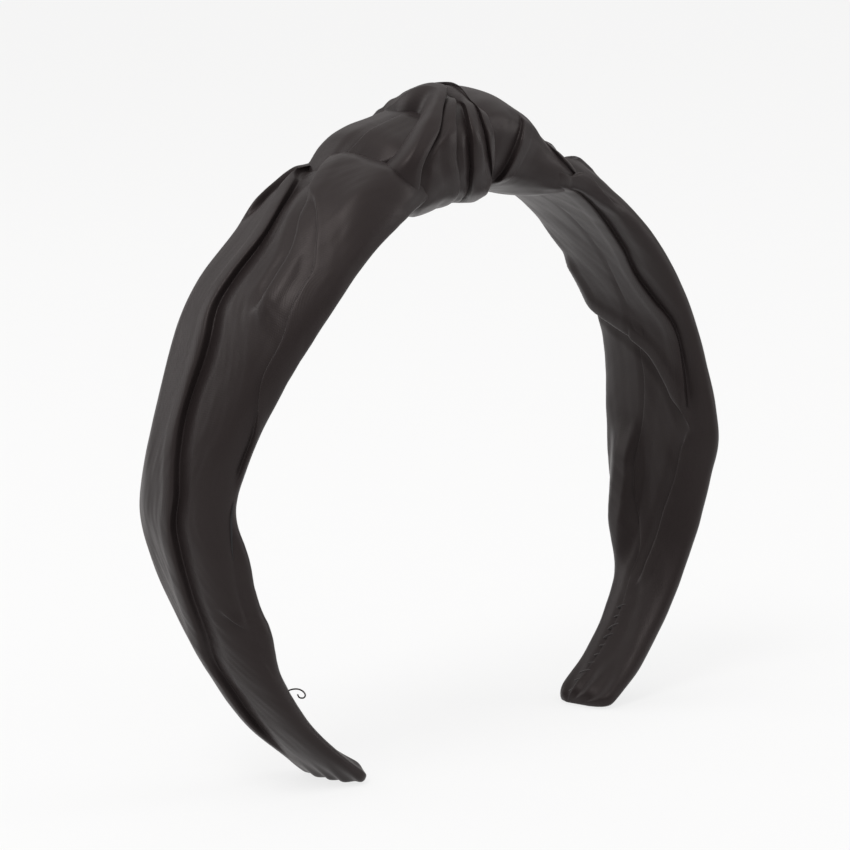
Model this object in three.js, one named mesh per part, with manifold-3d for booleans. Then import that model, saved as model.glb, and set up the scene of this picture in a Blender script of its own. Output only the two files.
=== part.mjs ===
// A knotted headband: a springy plastic hoop covered by one wide strip of satin, which is tied in an
// overhand knot over the crown and wrapped round both arms down to whip-stitched tips.
// Millimetres, +Z up, X across the head, Y from the forehead (-Y) to the back of the head (+Y).
// The origin is on the surface that the two tips stand on, midway between the arms.
import * as THREE from 'three';
import { mergeVertices } from 'three/addons/utils/BufferGeometryUtils.js';
import Module from 'manifold-3d';

const wasm = await Module();
wasm.setup();

// ---- driving dimensions ------------------------------------------------------------------------
const CROWN_HEIGHT = 131.5;      // neutral surface of the hoop at the crown, above the resting plane
const CROWN_RADIUS = 72.0;       // the hoop's bend at the crown
const TIP_RADIUS = 70.0;         // and at the tips, where it closes in a little more
const ARM_LENGTH = 182.5;        // from the crown along the hoop to the end of the cloth
const HINGE_ARC = 45.0;          // where each arm starts to flex, at the edge of the stiff knot
const HINGE_GAP = 3.0;           // room between crown and arm cloth, so the arm can swing outwards
const CORE_GAP = 0.7;            // room between the pieces of the plastic hoop at the flex lines

const CORE_THICKNESS = 1.4;
const CORE_CROWN_WIDTH = 23.0;
const CORE_TIP_WIDTH = 8.4;
const CORE_END_ARC = 172.0;      // the plastic stops inside the closed end of the cloth
const CLEARANCE = 0.3;           // between touching pieces

// The cloth sleeve, as [arc from the crown, size], arcs to the left being negative.
const FRONT_EDGE = [[-188, 8.8], [-158, 11.0], [-135, 11.2], [-108, 9.6], [-81, 14.8], [-57, 19.6],
  [-36, 18.6], [-22, 15.6], [-4, 13.6], [14, 14.0], [36, 15.4], [57, 15.4], [81, 15.6], [108, 15.0],
  [135, 12.0], [158, 8.8], [188, 7.6]];
const BACK_EDGE = [[-188, 5.6], [-158, 8.2], [-135, 13.4], [-108, 19.4], [-81, 19.2], [-57, 19.8],
  [-36, 18.4], [-22, 15.8], [-4, 13.8], [14, 15.0], [36, 18.0], [57, 18.6], [81, 18.2], [108, 18.0],
  [135, 13.2], [158, 7.4], [188, 5.4]];
const OUTER_DEPTH = [[-188, 2.8], [-144, 3.4], [-108, 5.2], [-72, 7.0], [-36, 7.6], [-15, 5.2],
  [10, 4.8], [36, 5.4], [72, 4.6], [108, 4.9], [144, 4.1], [188, 3.0]];
const INNER_DEPTH = [[-188, 2.7], [-144, 3.0], [-108, 3.3], [-54, 4.2], [-10, 3.0], [36, 3.0],
  [72, 3.2], [108, 4.0], [144, 3.8], [188, 3.1]];
const SECTION_POWER = 2.3;       // squareness of the sleeve's section
const PLEAT_DEPTH = 0.16;        // how far the lengthwise pleats cut into the outer cloth
const PLEAT_WAVES = 7.0;         // radians of pleating from the middle of the band to an edge
const PLEAT_SHIFT = 0.6;
const PLEAT_REACH = 120.0;       // arc over which the pleats fade

const KNOT_ARC = -6.0;           // middle of the loop of cloth that passes round the band
const KNOT_HALF_WIDTH = 15.5;
const KNOT_TOP = 21.0;           // height of the loop over the hoop's neutral surface
const KNOT_BOTTOM = 6.4;
const KNOT_HALF_DEPTH = 21.0;
const KNOT_SLANT = 7.0;          // how far the loop leans to the left at the front
const KNOT_PLEATS = 6;
const KNOT_PLEAT_DEPTH = 0.07;
const KNOT_TAPER = 0.28;         // how much narrower the loop is over the top
const KNOT_FLANK_DROP = 0.72;    // how far its flanks fall away from the middle
const KNOT_FLANK_POWER = 2.6;
const REST_FACET_HEIGHT = 125.9; // the loop's underside is flat here, where it lies on the head

const THREAD_RADIUS = 0.22;
const STITCH_PITCH = 2.6;
const STITCH_HALF_WIDTH = 1.7;
const STITCH_START_ARC = 157.0;
const STITCH_END_ARC = 175.0;
const SEAM_OFFSET = 2.5;         // the seam runs off-centre on the inner face, in opposite senses
const THREAD_LIFT = 0.15;        // over the clearance, because the inner face is curved
const TAIL_ARC = -153.5;         // where the loose loop of thread stands on the left arm

// The strands on either side of the loop, as [at the low arc, at the high arc].
const CROSSING_STRAND = { arc: [-40, -14], middle: [9, 1], halfWidth: [9, 14], height: [2.2, 10.5],
  skew: 2 };
const RIGHT_STRAND = { arc: [-1, 29], middle: [0, 0], halfWidth: [16, 13], height: [13, 1.6],
  skew: 0 };

// ---- materials ---------------------------------------------------------------------------------
const satin = new THREE.MeshStandardMaterial({ color: 0x393333, roughness: 0.55, metalness: 0 });
const plastic = new THREE.MeshStandardMaterial({ color: 0x17171a, roughness: 0.4, metalness: 0 });
const thread = new THREE.MeshStandardMaterial({ color: 0x2c2626, roughness: 0.7, metalness: 0 });

// ---- the hoop's curve --------------------------------------------------------------------------
function hoopAngle(arc) {
  const tightening = (1 / TIP_RADIUS - 1 / CROWN_RADIUS) / (2 * ARM_LENGTH);
  return arc / CROWN_RADIUS + Math.sign(arc) * tightening * arc * arc;
}

// The point at a signed arc from the crown, at y along the head and h out from the neutral surface.
function onHoop(arc, y, h) {
  const steps = 48;
  let x = 0;
  let z = CROWN_HEIGHT;
  for (let i = 0; i < steps; i += 1) {
    const angle = hoopAngle(arc * (i + 0.5) / steps);
    x += Math.cos(angle) * arc / steps;
    z -= Math.sin(angle) * arc / steps;
  }
  const angle = hoopAngle(arc);
  return new THREE.Vector3(x + Math.sin(angle) * h, y, z + Math.cos(angle) * h);
}

// A smooth curve through a table of [arc, size] pairs.
function along(table, arc) {
  const last = table.length - 1;
  const clamped = Math.min(Math.max(arc, table[0][0]), table[last][0]);
  let i = 0;
  while (i < last - 1 && table[i + 1][0] < clamped) i += 1;
  const slope = (j) => {
    const a = table[Math.max(j - 1, 0)];
    const b = table[Math.min(j + 1, last)];
    return (b[1] - a[1]) / (b[0] - a[0]);
  };
  const span = table[i + 1][0] - table[i][0];
  const t = (clamped - table[i][0]) / span;
  const rise = t * t * (3 - 2 * t);
  return table[i][1] * (1 - rise) + table[i + 1][1] * rise
    + span * (slope(i) * t * (1 - t) * (1 - t) - slope(i + 1) * t * t * (1 - t));
}

// ---- solids ------------------------------------------------------------------------------------
// A closed bar with a rounded section, bent into place: place(a, b, t) gives the point for section
// coordinates a and b from -1 to 1 and length t from 0 to 1.
function bentBar(sides, steps, power, place) {
  const outline = [];
  for (let i = 0; i < sides; i += 1) {
    const turn = 2 * Math.PI * i / sides;
    const c = Math.cos(turn);
    const s = Math.sin(turn);
    outline.push(new THREE.Vector2(
      Math.sign(c) * Math.abs(c) ** (2 / power),
      Math.sign(s) * Math.abs(s) ** (2 / power),
    ));
  }
  const bar = new THREE.ExtrudeGeometry(new THREE.Shape(outline),
    { depth: 1, steps, bevelEnabled: false });
  bar.deleteAttribute('normal');
  bar.deleteAttribute('uv');
  const merged = mergeVertices(bar, 1e-5);
  const position = merged.getAttribute('position');
  for (let i = 0; i < position.count; i += 1) {
    const point = place(position.getX(i), position.getY(i), position.getZ(i));
    position.setXYZ(i, point.x, point.y, point.z);
  }
  return merged;
}

function toSolid(geometry) {
  const plain = geometry.clone();
  plain.deleteAttribute('normal');
  plain.deleteAttribute('uv');
  const merged = mergeVertices(plain, 1e-5);
  return new wasm.Manifold(new wasm.Mesh({
    numProp: 3,
    vertProperties: new Float32Array(merged.getAttribute('position').array),
    triVerts: new Uint32Array(merged.index.array),
  }));
}

function toGeometry(solid) {
  const mesh = solid.getMesh();
  const geometry = new THREE.BufferGeometry();
  geometry.setAttribute('position', new THREE.BufferAttribute(mesh.vertProperties, 3));
  geometry.setIndex(new THREE.BufferAttribute(mesh.triVerts, 1));
  geometry.computeVertexNormals();
  return geometry;
}

// Everything below the given height, as a box to cut with.
function boxBelow(height) {
  const size = 400;
  return toSolid(new THREE.BoxGeometry(size, size, size).translate(0, 0, height - size / 2));
}

// ---- the hoop's plastic ------------------------------------------------------------------------
function coreHalfWidth(arc) {
  const t = Math.abs(arc) / CORE_END_ARC;
  return (CORE_CROWN_WIDTH + (CORE_TIP_WIDTH - CORE_CROWN_WIDTH) * t ** 1.4) / 2;
}

function corePiece(from, to, steps, grow) {
  return bentBar(8, steps, 3, (a, b, t) => {
    const arc = from + (to - from) * t;
    return onHoop(arc, a * (coreHalfWidth(arc) + grow), b * (CORE_THICKNESS / 2 + grow));
  });
}

// ---- the cloth sleeve --------------------------------------------------------------------------
// Lengthwise pleats on the outer cloth, deepest near the knot and fading towards the tips.
function pleat(arc, a) {
  const fade = Math.exp(-Math.abs(arc) / PLEAT_REACH);
  return 1 - PLEAT_DEPTH * fade * (1 - Math.cos(PLEAT_WAVES * a + PLEAT_SHIFT)) * (1 - a * a);
}

function sleevePoint(arc, a, b, grow) {
  const edge = a < 0 ? along(FRONT_EDGE, arc) : along(BACK_EDGE, arc);
  const depth = b < 0 ? along(INNER_DEPTH, arc) : along(OUTER_DEPTH, arc) * pleat(arc, a);
  return { y: a * (edge + grow), h: b * (depth + grow) };
}

function sleeve(from, to, steps, grow) {
  return bentBar(20, steps, SECTION_POWER, (a, b, t) => {
    const arc = from + (to - from) * t;
    const { y, h } = sleevePoint(arc, a, b, grow);
    return onHoop(arc, y, h);
  });
}

// Height of the sleeve's outer cloth over the neutral surface.
function sleeveTop(arc, y) {
  const edge = y < 0 ? along(FRONT_EDGE, arc) : along(BACK_EDGE, arc);
  const a = Math.min(Math.abs(y) / edge, 1) * Math.sign(y);
  const b = (1 - Math.abs(a) ** SECTION_POWER) ** (1 / SECTION_POWER);
  return sleevePoint(arc, a, b, 0).h;
}

function crownWrap() {
  const end = HINGE_ARC - HINGE_GAP / 2;
  const outside = toSolid(sleeve(-end, end, 16, 0));
  const tunnel = toSolid(corePiece(-HINGE_ARC - 5, HINGE_ARC + 5, 22, CLEARANCE));
  return toGeometry(outside.subtract(tunnel));
}

function armWrap(side) {
  const start = side * (HINGE_ARC + HINGE_GAP / 2);
  const end = side * ARM_LENGTH;
  const outside = toSolid(sleeve(Math.min(start, end), Math.max(start, end), 25, 0));
  const mouth = side * (HINGE_ARC - 5);
  const bottom = side * (CORE_END_ARC + 1);
  const pocket = toSolid(corePiece(Math.min(mouth, bottom), Math.max(mouth, bottom), 24, CLEARANCE));
  return toGeometry(outside.subtract(boxBelow(0)).subtract(pocket));
}

// ---- the knot ----------------------------------------------------------------------------------
// The loop's outer shape: an egg round the band, pinched where its pleats gather over the top.
function knotBody(grow) {
  return toSolid(bentBar(30, 10, 2, (a, b, t) => {
    const across = 2 * t - 1;
    const bulge = Math.sqrt(1 - KNOT_FLANK_DROP * Math.abs(across) ** KNOT_FLANK_POWER);
    const top = Math.max(b, 0);
    const wave = (1 - Math.cos(KNOT_PLEATS * Math.PI * across)) / 2;
    const ribs = 1 - KNOT_PLEAT_DEPTH * wave * (0.3 + 0.7 * top);
    const y = a * (KNOT_HALF_DEPTH * bulge * ribs + grow);
    const height = b > 0 ? KNOT_TOP * bulge * ribs : KNOT_BOTTOM * bulge;
    const lean = KNOT_SLANT * (a - 0.5 * top);
    const width = (KNOT_HALF_WIDTH + grow) * (1 - KNOT_TAPER * top);
    return onHoop(KNOT_ARC + lean + across * width, y, b * (height + grow));
  }));
}

function knotWrap(outer) {
  const inside = toSolid(sleeve(-HINGE_ARC, HINGE_ARC, 16, CLEARANCE));
  return toGeometry(outer.subtract(inside).subtract(boxBelow(REST_FACET_HEIGHT)));
}

// A strand of the strip lying on the sleeve. It runs from one arc to another while its middle moves
// from y0 to y1, and its width and height change evenly along the way.
function strand(run, outer) {
  const body = toSolid(bentBar(16, 10, 2.4, (a, b, t) => {
    const mix = (pair) => pair[0] + (pair[1] - pair[0]) * t;
    const y = mix(run.middle) + a * mix(run.halfWidth);
    const arc = mix(run.arc) + run.skew * a;
    const foot = sleeveTop(arc, y) + 2 * CLEARANCE;
    return onHoop(arc, y, foot + (b + 1) / 2 * mix(run.height));
  }));
  const room = toSolid(sleeve(-HINGE_ARC, HINGE_ARC, 16, CLEARANCE));
  return toGeometry(body.subtract(outer).subtract(room));
}

// ---- the thread --------------------------------------------------------------------------------
function threadAlong(points, steps) {
  const round = new THREE.EllipseCurve(0, 0, THREAD_RADIUS, THREAD_RADIUS);
  const extrudePath = new THREE.CatmullRomCurve3(points, false, 'catmullrom', 0.2);
  return new THREE.ExtrudeGeometry(new THREE.Shape(round.getPoints(6)),
    { steps, bevelEnabled: false, extrudePath });
}

function onInnerFace(arc, y) {
  return onHoop(arc, y, -(along(INNER_DEPTH, arc) + CLEARANCE + THREAD_RADIUS + THREAD_LIFT));
}

// Whip stitches that close the sleeve's two long edges on the inner face, next to the tip.
function tipStitching(side) {
  const points = [];
  const count = Math.round((STITCH_END_ARC - STITCH_START_ARC) / STITCH_PITCH);
  for (let i = 0; i <= count; i += 1) {
    const arc = side * (STITCH_START_ARC + STITCH_PITCH * i);
    points.push(onInnerFace(arc, side * SEAM_OFFSET - STITCH_HALF_WIDTH));
    const across = arc + side * STITCH_PITCH / 3;
    points.push(onInnerFace(across, side * SEAM_OFFSET + STITCH_HALF_WIDTH));
  }
  return threadAlong(points, count * 8);
}

// The short loop of thread left standing where the left arm's stitching was fastened off, as points
// of [arc past its root, y, height].
function threadTail() {
  const route = [[0, -2.2, -4.3], [1.5, -5.2, -5.2], [3.5, -9.2, -5.6], [4.5, -12.7, -4.4],
    [2.8, -13.8, -3.4], [1.8, -11.4, -4.6], [1.6, -9.0, -4.9]];
  return threadAlong(route.map(([arc, y, h]) => onHoop(TAIL_ARC + arc, y, h)), 22);
}

// ---- the assembly ------------------------------------------------------------------------------
const group = new THREE.Group();

function add(name, geometry, material) {
  const mesh = new THREE.Mesh(geometry, material);
  mesh.name = name;
  group.add(mesh);
}

const hoopJoint = HINGE_ARC - CORE_GAP / 2;
const armJoint = HINGE_ARC + CORE_GAP / 2;
add('crown_core', corePiece(-hoopJoint, hoopJoint, 16, 0), plastic);
add('left_arm_core', corePiece(-CORE_END_ARC, -armJoint, 20, 0), plastic);
add('right_arm_core', corePiece(armJoint, CORE_END_ARC, 20, 0), plastic);

const knotRoom = knotBody(1.5 * CLEARANCE);
add('crown_wrap', crownWrap(), satin);
add('knot_wrap', knotWrap(knotBody(0)), satin);
add('crossing_strand', strand(CROSSING_STRAND, knotRoom), satin);
add('right_strand', strand(RIGHT_STRAND, knotRoom), satin);
add('left_wrap', armWrap(-1), satin);
add('right_wrap', armWrap(1), satin);

add('left_tip_stitching', tipStitching(-1), thread);
add('right_tip_stitching', tipStitching(1), thread);
add('left_thread_tail', threadTail(), thread);

export default group;
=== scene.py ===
# %% [markdown]
# # A knotted satin headband
# A springy plastic hoop is hidden inside one wide strip of satin. The strip is tied in an overhand knot over
# the crown and wrapped round both arms down to whip-stitched tips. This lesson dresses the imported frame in
# real cloth: two pleated sleeves, a pleated loop, two strands, the plastic and the thread.

# %% Load the frame
import math

import bmesh
import bpy
import numpy as np
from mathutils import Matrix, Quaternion, Vector


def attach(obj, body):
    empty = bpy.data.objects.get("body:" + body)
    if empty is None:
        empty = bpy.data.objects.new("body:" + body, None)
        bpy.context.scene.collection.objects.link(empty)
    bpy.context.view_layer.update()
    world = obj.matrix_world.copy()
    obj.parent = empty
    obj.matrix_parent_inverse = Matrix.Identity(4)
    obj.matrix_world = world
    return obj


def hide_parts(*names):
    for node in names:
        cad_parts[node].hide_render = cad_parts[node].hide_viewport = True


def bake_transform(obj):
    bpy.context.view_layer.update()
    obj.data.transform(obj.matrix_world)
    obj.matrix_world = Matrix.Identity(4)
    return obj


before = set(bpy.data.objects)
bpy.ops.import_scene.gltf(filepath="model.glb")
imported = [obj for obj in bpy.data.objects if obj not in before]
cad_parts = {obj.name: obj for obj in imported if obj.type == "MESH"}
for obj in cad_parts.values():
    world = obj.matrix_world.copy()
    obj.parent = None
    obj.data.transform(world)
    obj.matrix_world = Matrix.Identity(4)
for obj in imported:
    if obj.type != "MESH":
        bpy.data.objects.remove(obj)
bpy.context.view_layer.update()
scene = bpy.context.scene
MM = 0.001

# %% [markdown]
# ## The hoop's curve
# Every piece of a headband follows the hoop, so places are given as three numbers: the arc along the hoop
# from the crown (negative to the left), y from the forehead to the back of the head, and h outwards from the
# middle of the plastic. One function turns them into a point, and the bend tightens evenly towards the tips.

# %% The hoop's curve
CROWN_HEIGHT = 131.5
CROWN_RADIUS = 72.0
TIP_RADIUS = 70.0
ARM_LENGTH = 182.5
TIGHTENING = (1 / TIP_RADIUS - 1 / CROWN_RADIUS) / (2 * ARM_LENGTH)
ARC_STEPS = 48


def hoop_angle(arc):
    """How far the hoop has turned from level at an arc, in radians."""
    return arc / CROWN_RADIUS + np.sign(arc) * TIGHTENING * arc ** 2


def on_hoop(arc, y, h):
    """The points, in millimetres, at arc, y and h, which are numbers or arrays of one shape."""
    arc, y, h = np.broadcast_arrays(*(np.asarray(v, float) for v in (arc, y, h)))
    x, z = np.zeros(arc.shape), np.full(arc.shape, CROWN_HEIGHT)
    for i in range(ARC_STEPS):
        angle = hoop_angle(arc * (i + 0.5) / ARC_STEPS)
        x = x + np.cos(angle) * arc / ARC_STEPS
        z = z - np.sin(angle) * arc / ARC_STEPS
    angle = hoop_angle(arc)
    return np.stack([x + np.sin(angle) * h, y, z + np.cos(angle) * h], -1)


print("hoop tip at", np.round(on_hoop(ARM_LENGTH, 0, 0), 1), "mm")

# %% [markdown]
# ## Tables and grids
# Cloth is easiest to shape as a grid of points: one direction runs along the strip, the other across it.
# Sizes that change along the arm are short tables of pairs, read as a smooth curve. A grid becomes a mesh
# with a map of its own, in centimetres of cloth, for the weave to follow.

# %% Tables and grids
def along(table, at):
    """Reads a table of (place, size) pairs as a smooth curve."""
    places, sizes = np.array(table, float).T
    slopes = np.gradient(sizes, places)
    at = np.clip(np.asarray(at, float), places[0], places[-1])
    i = np.clip(np.searchsorted(places, at, side="right") - 1, 0, len(places) - 2)
    span = places[i + 1] - places[i]
    t = (at - places[i]) / span
    rise = t * t * (3 - 2 * t)
    bend = slopes[i] * t * (1 - t) ** 2 - slopes[i + 1] * t * t * (1 - t)
    return sizes[i] * (1 - rise) + sizes[i + 1] * rise + span * bend


def smooth_step(x, low, high):
    t = np.clip((np.asarray(x, float) - low) / (high - low), 0, 1)
    return t * t * (3 - 2 * t)


def squared(x, power):
    """A sine or cosine pushed towards the corners, so that a circle becomes a squared one."""
    return np.sign(x) * np.abs(x) ** (2 / power)


def put(name, data):
    """A new object in the scene."""
    made = bpy.data.objects.new(name, data)
    scene.collection.objects.link(made)
    return made


def grid_mesh(name, points, cloth, closed=False):
    """A mesh from points[along, across] in millimetres. cloth is the grid's own map, in millimetres."""
    rows, columns = points.shape[:2]
    corner = np.arange(rows * columns).reshape(rows, columns)
    right = np.roll(corner, -1, 1) if closed else corner[:, 1:]
    left = corner if closed else corner[:, :-1]
    quads = np.stack([left[:-1], left[1:], right[1:], right[:-1]], -1).reshape(-1, 4)
    mesh = bpy.data.meshes.new(name)
    mesh.from_pydata((points.reshape(-1, 3) * MM).tolist(), [], quads.tolist())
    layer = mesh.uv_layers.new(name="cloth")
    layer.data.foreach_set("uv", (cloth.reshape(-1, 2)[quads.ravel()] / 10).astype(np.float32).ravel())
    mesh.polygons.foreach_set("use_smooth", np.ones(len(mesh.polygons), bool))
    mesh.update()
    print(name, "has", len(mesh.polygons), "faces")
    return put(name, mesh)


def unevenness(a, b, scale, seed):
    """Smooth unevenness, about -1 to 1, over two coordinates, the same on every run."""
    random = np.random.default_rng(seed)
    total = 0
    for octave in range(3):
        for _ in range(4):
            turn, phase = random.uniform(0, 2 * np.pi, 2)
            pitch = 2 * np.pi / scale * 1.9 ** octave * random.uniform(0.7, 1.3)
            total = total + np.sin(pitch * (np.cos(turn) * a + np.sin(turn) * b) + phase) / 1.8 ** octave
    return total / 4.5


# %% [markdown]
# ## The sleeve's section
# Round each arm the strip lies like a soft flat tube, wider at the shoulders than at the tips. Its section
# is a squared ellipse whose four sizes come from tables. The two arms of an overhand knot are alike when one
# is turned half round, so both are drawn in the left arm's places: s down the arm, v across it.

# %% The sleeve's section
SECTION_POWER = 2.3
FINE = 900         # points on a finely drawn section
FAR_OFF = 1e9      # further than any place on the cloth
LEFT = {
    "low": [(0, 12.5), (14, 15.4), (24, 18.4), (36, 21.0), (50, 21.0), (57, 21.0), (66, 20.2), (81, 16.4),
            (95, 10.6), (108, 7.2), (120, 7.4), (133, 8.2), (140, 9.6), (150, 10.6), (157, 11.0),
            (161, 11.2), (172, 12.8), (182.5, 12.8)],
    "high": [(0, 13.0), (14, 14.0), (24, 16.2), (36, 19.6), (50, 20.2), (60, 20.8), (66, 20.4), (74, 19.0),
             (90, 18.8), (103, 20.8), (110, 21.4), (118, 19.6), (126, 17.0), (135, 13.6), (150, 7.8),
             (165, 5.2), (182.5, 6.2)],
    "outer": [(0, 5.0), (15, 6.5), (25, 8.2), (36, 8.2), (50, 7.6), (66, 7.8), (80, 6.4), (108, 5.8),
              (144, 3.6), (170, 3.4), (182.5, 3.4)],
    "inner": [(0, 3.2), (36, 3.8), (54, 4.2), (108, 3.6), (130, 4.2), (150, 4.0), (165, 3.0), (182.5, 2.8)],
}
RIGHT = {
    "low": [(0, 11.6), (14, 11.6), (24, 12.4), (36, 14.4), (57, 16.4), (64, 15.8), (74, 14.8), (81, 14.4),
            (90, 15.8), (108, 18.2), (122, 17.0), (135, 12.2), (150, 7.6), (158, 6.4), (168, 6.0),
            (182.5, 5.2)],
    "high": [(0, 10.0), (14, 12.2), (24, 14.0), (36, 15.2), (57, 15.2), (81, 15.2), (95, 15.4), (106, 16.2),
             (112, 16.4), (122, 14.4), (135, 12.4), (150, 11.2), (160, 10.6), (170, 10.6), (182.5, 10.4)],
    "outer": [(0, 5.0), (12, 7.0), (24, 6.6), (36, 5.6), (72, 4.4), (108, 4.6), (144, 4.2), (182.5, 3.6)],
    "inner": [(0, 3.2), (36, 3.2), (72, 3.4), (108, 4.0), (144, 3.6), (182.5, 3.0)],
}
SEAM = [(0, 4.0), (60, 0.0), (88, -1.8), (95, -1.9), (103, -3.0), (113, -4.6), (128, -4.6), (135, -2.6),
        (142, -0.8), (147, -1.4), (156, -0.4), (170, 0.0), (182.5, -0.6)]


class Section:
    """The ring of the sleeve at each station s, measured round in millimetres from the middle of the inner
    face. Round the ring, v grows first, then the outer face is crossed."""

    def __init__(self, sizes, s):
        turn = np.linspace(0, 2 * np.pi, FINE + 1)[None, :] - np.pi / 2
        a, b = squared(np.cos(turn), SECTION_POWER), squared(np.sin(turn), SECTION_POWER)
        low, high, outer, inner = (along(sizes[n], s)[:, None] for n in ("low", "high", "outer", "inner"))
        self.s = s
        self.v = np.where(a > 0, a * high, a * low)
        self.h = np.where(b > 0, b * outer, b * inner)
        step = np.hypot(np.diff(self.v, axis=1), np.diff(self.h, axis=1))
        self.round = np.hstack([np.zeros((len(s), 1)), np.cumsum(step, 1)])
        self.length = self.round[:, -1]

    def place(self, s, v, face):
        """How far round the ring a place v on the outer or inner face is."""
        i = int(np.argmin(np.abs(self.s - s)))
        on_face = self.h[i] >= 0 if face == "outer" else self.h[i] <= 0
        j = int(np.argmin(np.where(on_face, np.abs(self.v[i] - v), FAR_OFF)))
        place = self.round[i, j]
        before_start = face == "inner" and v <= 0 and place >= self.length[i] / 2
        return place - self.length[i] if before_start else place

    def at(self, u):
        """v and h at places u round the ring, one row of places for each station."""
        v, h = np.empty(u.shape), np.empty(u.shape)
        for i in range(len(self.s)):
            turned = np.mod(u[i], self.length[i])
            v[i] = np.interp(turned, self.round[i], self.v[i])
            h[i] = np.interp(turned, self.round[i], self.h[i])
        return v, h


# %% [markdown]
# ## Folds
# A fold in cloth is not a groove: one layer rolls over and lies on the next. Each point near the line moves
# sideways as one side rises and the other sinks, which draws an S that just overlaps itself. A broad swell
# lifts the upper panel. Each fold follows a line of (s, v) places and fades in and out at its ends.

# %% Folds
def fold(line, face, upper, height, sink=0.6, overlap=1.0, reach=2.6, swell=0.0, width=8.0, ends=(8, 8),
         arms=(-1, 1)):
    """upper is +1 where the top layer is on the side with the larger place round the ring, else -1."""
    return dict(line=line, face=face, upper=upper, height=height, sink=sink, overlap=overlap, reach=reach,
                swell=swell, width=width, ends=ends, arms=arms)


def near_line(line, s, u):
    """Signed distance from each point (s, u) to a line, the way across it, and how far along it is."""
    best = np.full(s.shape, FAR_OFF)
    signed, way_s, way_u, run = (np.zeros(s.shape) for _ in range(4))
    walked = 0.0
    for (s0, u0), (s1, u1) in zip(line[:-1], line[1:]):
        ds, du = s1 - s0, u1 - u0
        size = math.hypot(ds, du)
        t = np.clip(((s - s0) * ds + (u - u0) * du) / size ** 2, 0, 1)
        off_s, off_u = s - s0 - t * ds, u - u0 - t * du
        gap = np.hypot(off_s, off_u)
        side = np.sign(ds * (u - u0) - du * (s - s0))
        closer = gap < best
        best = np.where(closer, gap, best)
        signed = np.where(closer, side * gap, signed)
        way_s = np.where(closer, -du / size, way_s)
        way_u = np.where(closer, ds / size, way_u)
        run = np.where(closer, walked + t * size, run)
        walked += size
    return signed, way_s, way_u, run, walked


def smooth_line(line, step=1.5):
    """A line of (s, u) places, with its corners rounded."""
    line = np.array(line, float)
    run = np.concatenate([[0], np.cumsum(np.hypot(*np.diff(line, axis=0).T))])
    at = np.linspace(0, run[-1], max(4, int(run[-1] / step)))
    return np.stack([along(np.stack([run, line[:, k]], 1), at) for k in (0, 1)], 1)


def beside(d, soft, full, gone):
    """The share of a height on one side of a line: nearly all past soft, fading out from full to gone."""
    d = np.clip(d, 0, None)
    return (1 - np.exp(-d / soft)) * (1 - smooth_step(d, full, gone))


def rolled(d, reach):
    """The sideways roll of cloth over a line, opposite on its two sides."""
    return np.where(np.abs(d) < reach, np.sin(np.pi * d / reach), 0)


def lay_fold(f, line, s, u):
    """How far a fold lifts each point, and how far it slides it along s and u."""
    d, way_s, way_u, run, size = near_line(smooth_line(line), s, u)
    d = d * f["upper"]
    way_s, way_u = way_s * f["upper"], way_u * f["upper"]
    strong = smooth_step(run, 0, f["ends"][0]) * smooth_step(size - run, 0, f["ends"][1])
    lift = f["height"] * beside(d, soft=0.45, full=0.5, gone=f["width"] * 0.55)
    lift = lift + f["swell"] * beside(d, soft=1.5, full=1.0, gone=f["width"])
    lift = lift - f["sink"] * beside(-d, soft=0.4, full=0.4, gone=4.5)
    slide = -f["overlap"] * rolled(d, f["reach"]) * strong
    return lift * strong, slide * way_s, slide * way_u


# %% [markdown]
# ## The folds of this headband
# The deep pleat runs down the whole outer face from the knot, with the back panel standing over it. Shorter
# folds fan out of the knot and end as dimples. On the inner face a broad upper panel hangs over the narrower
# lower ones, and the edge of the strip lies along the middle.

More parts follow.
